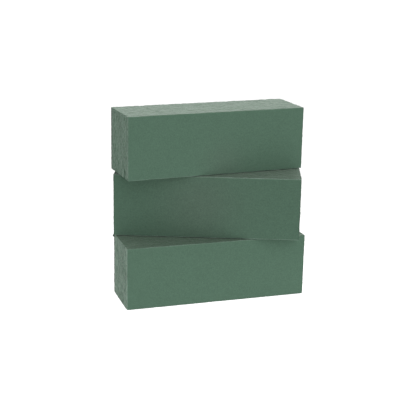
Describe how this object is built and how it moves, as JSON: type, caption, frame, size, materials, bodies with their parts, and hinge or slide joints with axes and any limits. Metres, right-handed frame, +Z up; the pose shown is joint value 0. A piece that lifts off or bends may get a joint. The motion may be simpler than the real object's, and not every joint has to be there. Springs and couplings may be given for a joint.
{
  "type": "floral foam bricks",
  "caption": "Loose rectangular bricks of dry green floral foam, stacked flat and fanned, each lifting off the one below.",
  "frame": {"origin": "centre of the bottom brick's underside", "axes": "+X along the bottom brick's length, to the viewer's right from its front; -Y is its front; +Z up"},
  "size_m": [0.239, 0.1422, 0.2341],
  "materials": {
    "floral_foam": "dry open-celled phenolic foam, fully matt, with a dusty cut skin"
  },
  "bodies": {
    "bottom": {"bottom_brick": "floral_foam"},
    "middle": {"middle_brick": "floral_foam"},
    "top": {"top_brick": "floral_foam"}
  },
  "joints": [
    {"name": "middle_brick_lift", "type": "slide", "parent": "bottom", "child": "middle", "axis": [0, 0, 1], "range_m": [0, 0.06]},
    {"name": "top_brick_lift", "type": "slide", "parent": "middle", "child": "top", "axis": [0, 0, 1], "range_m": [0, 0.06]}
  ]
}
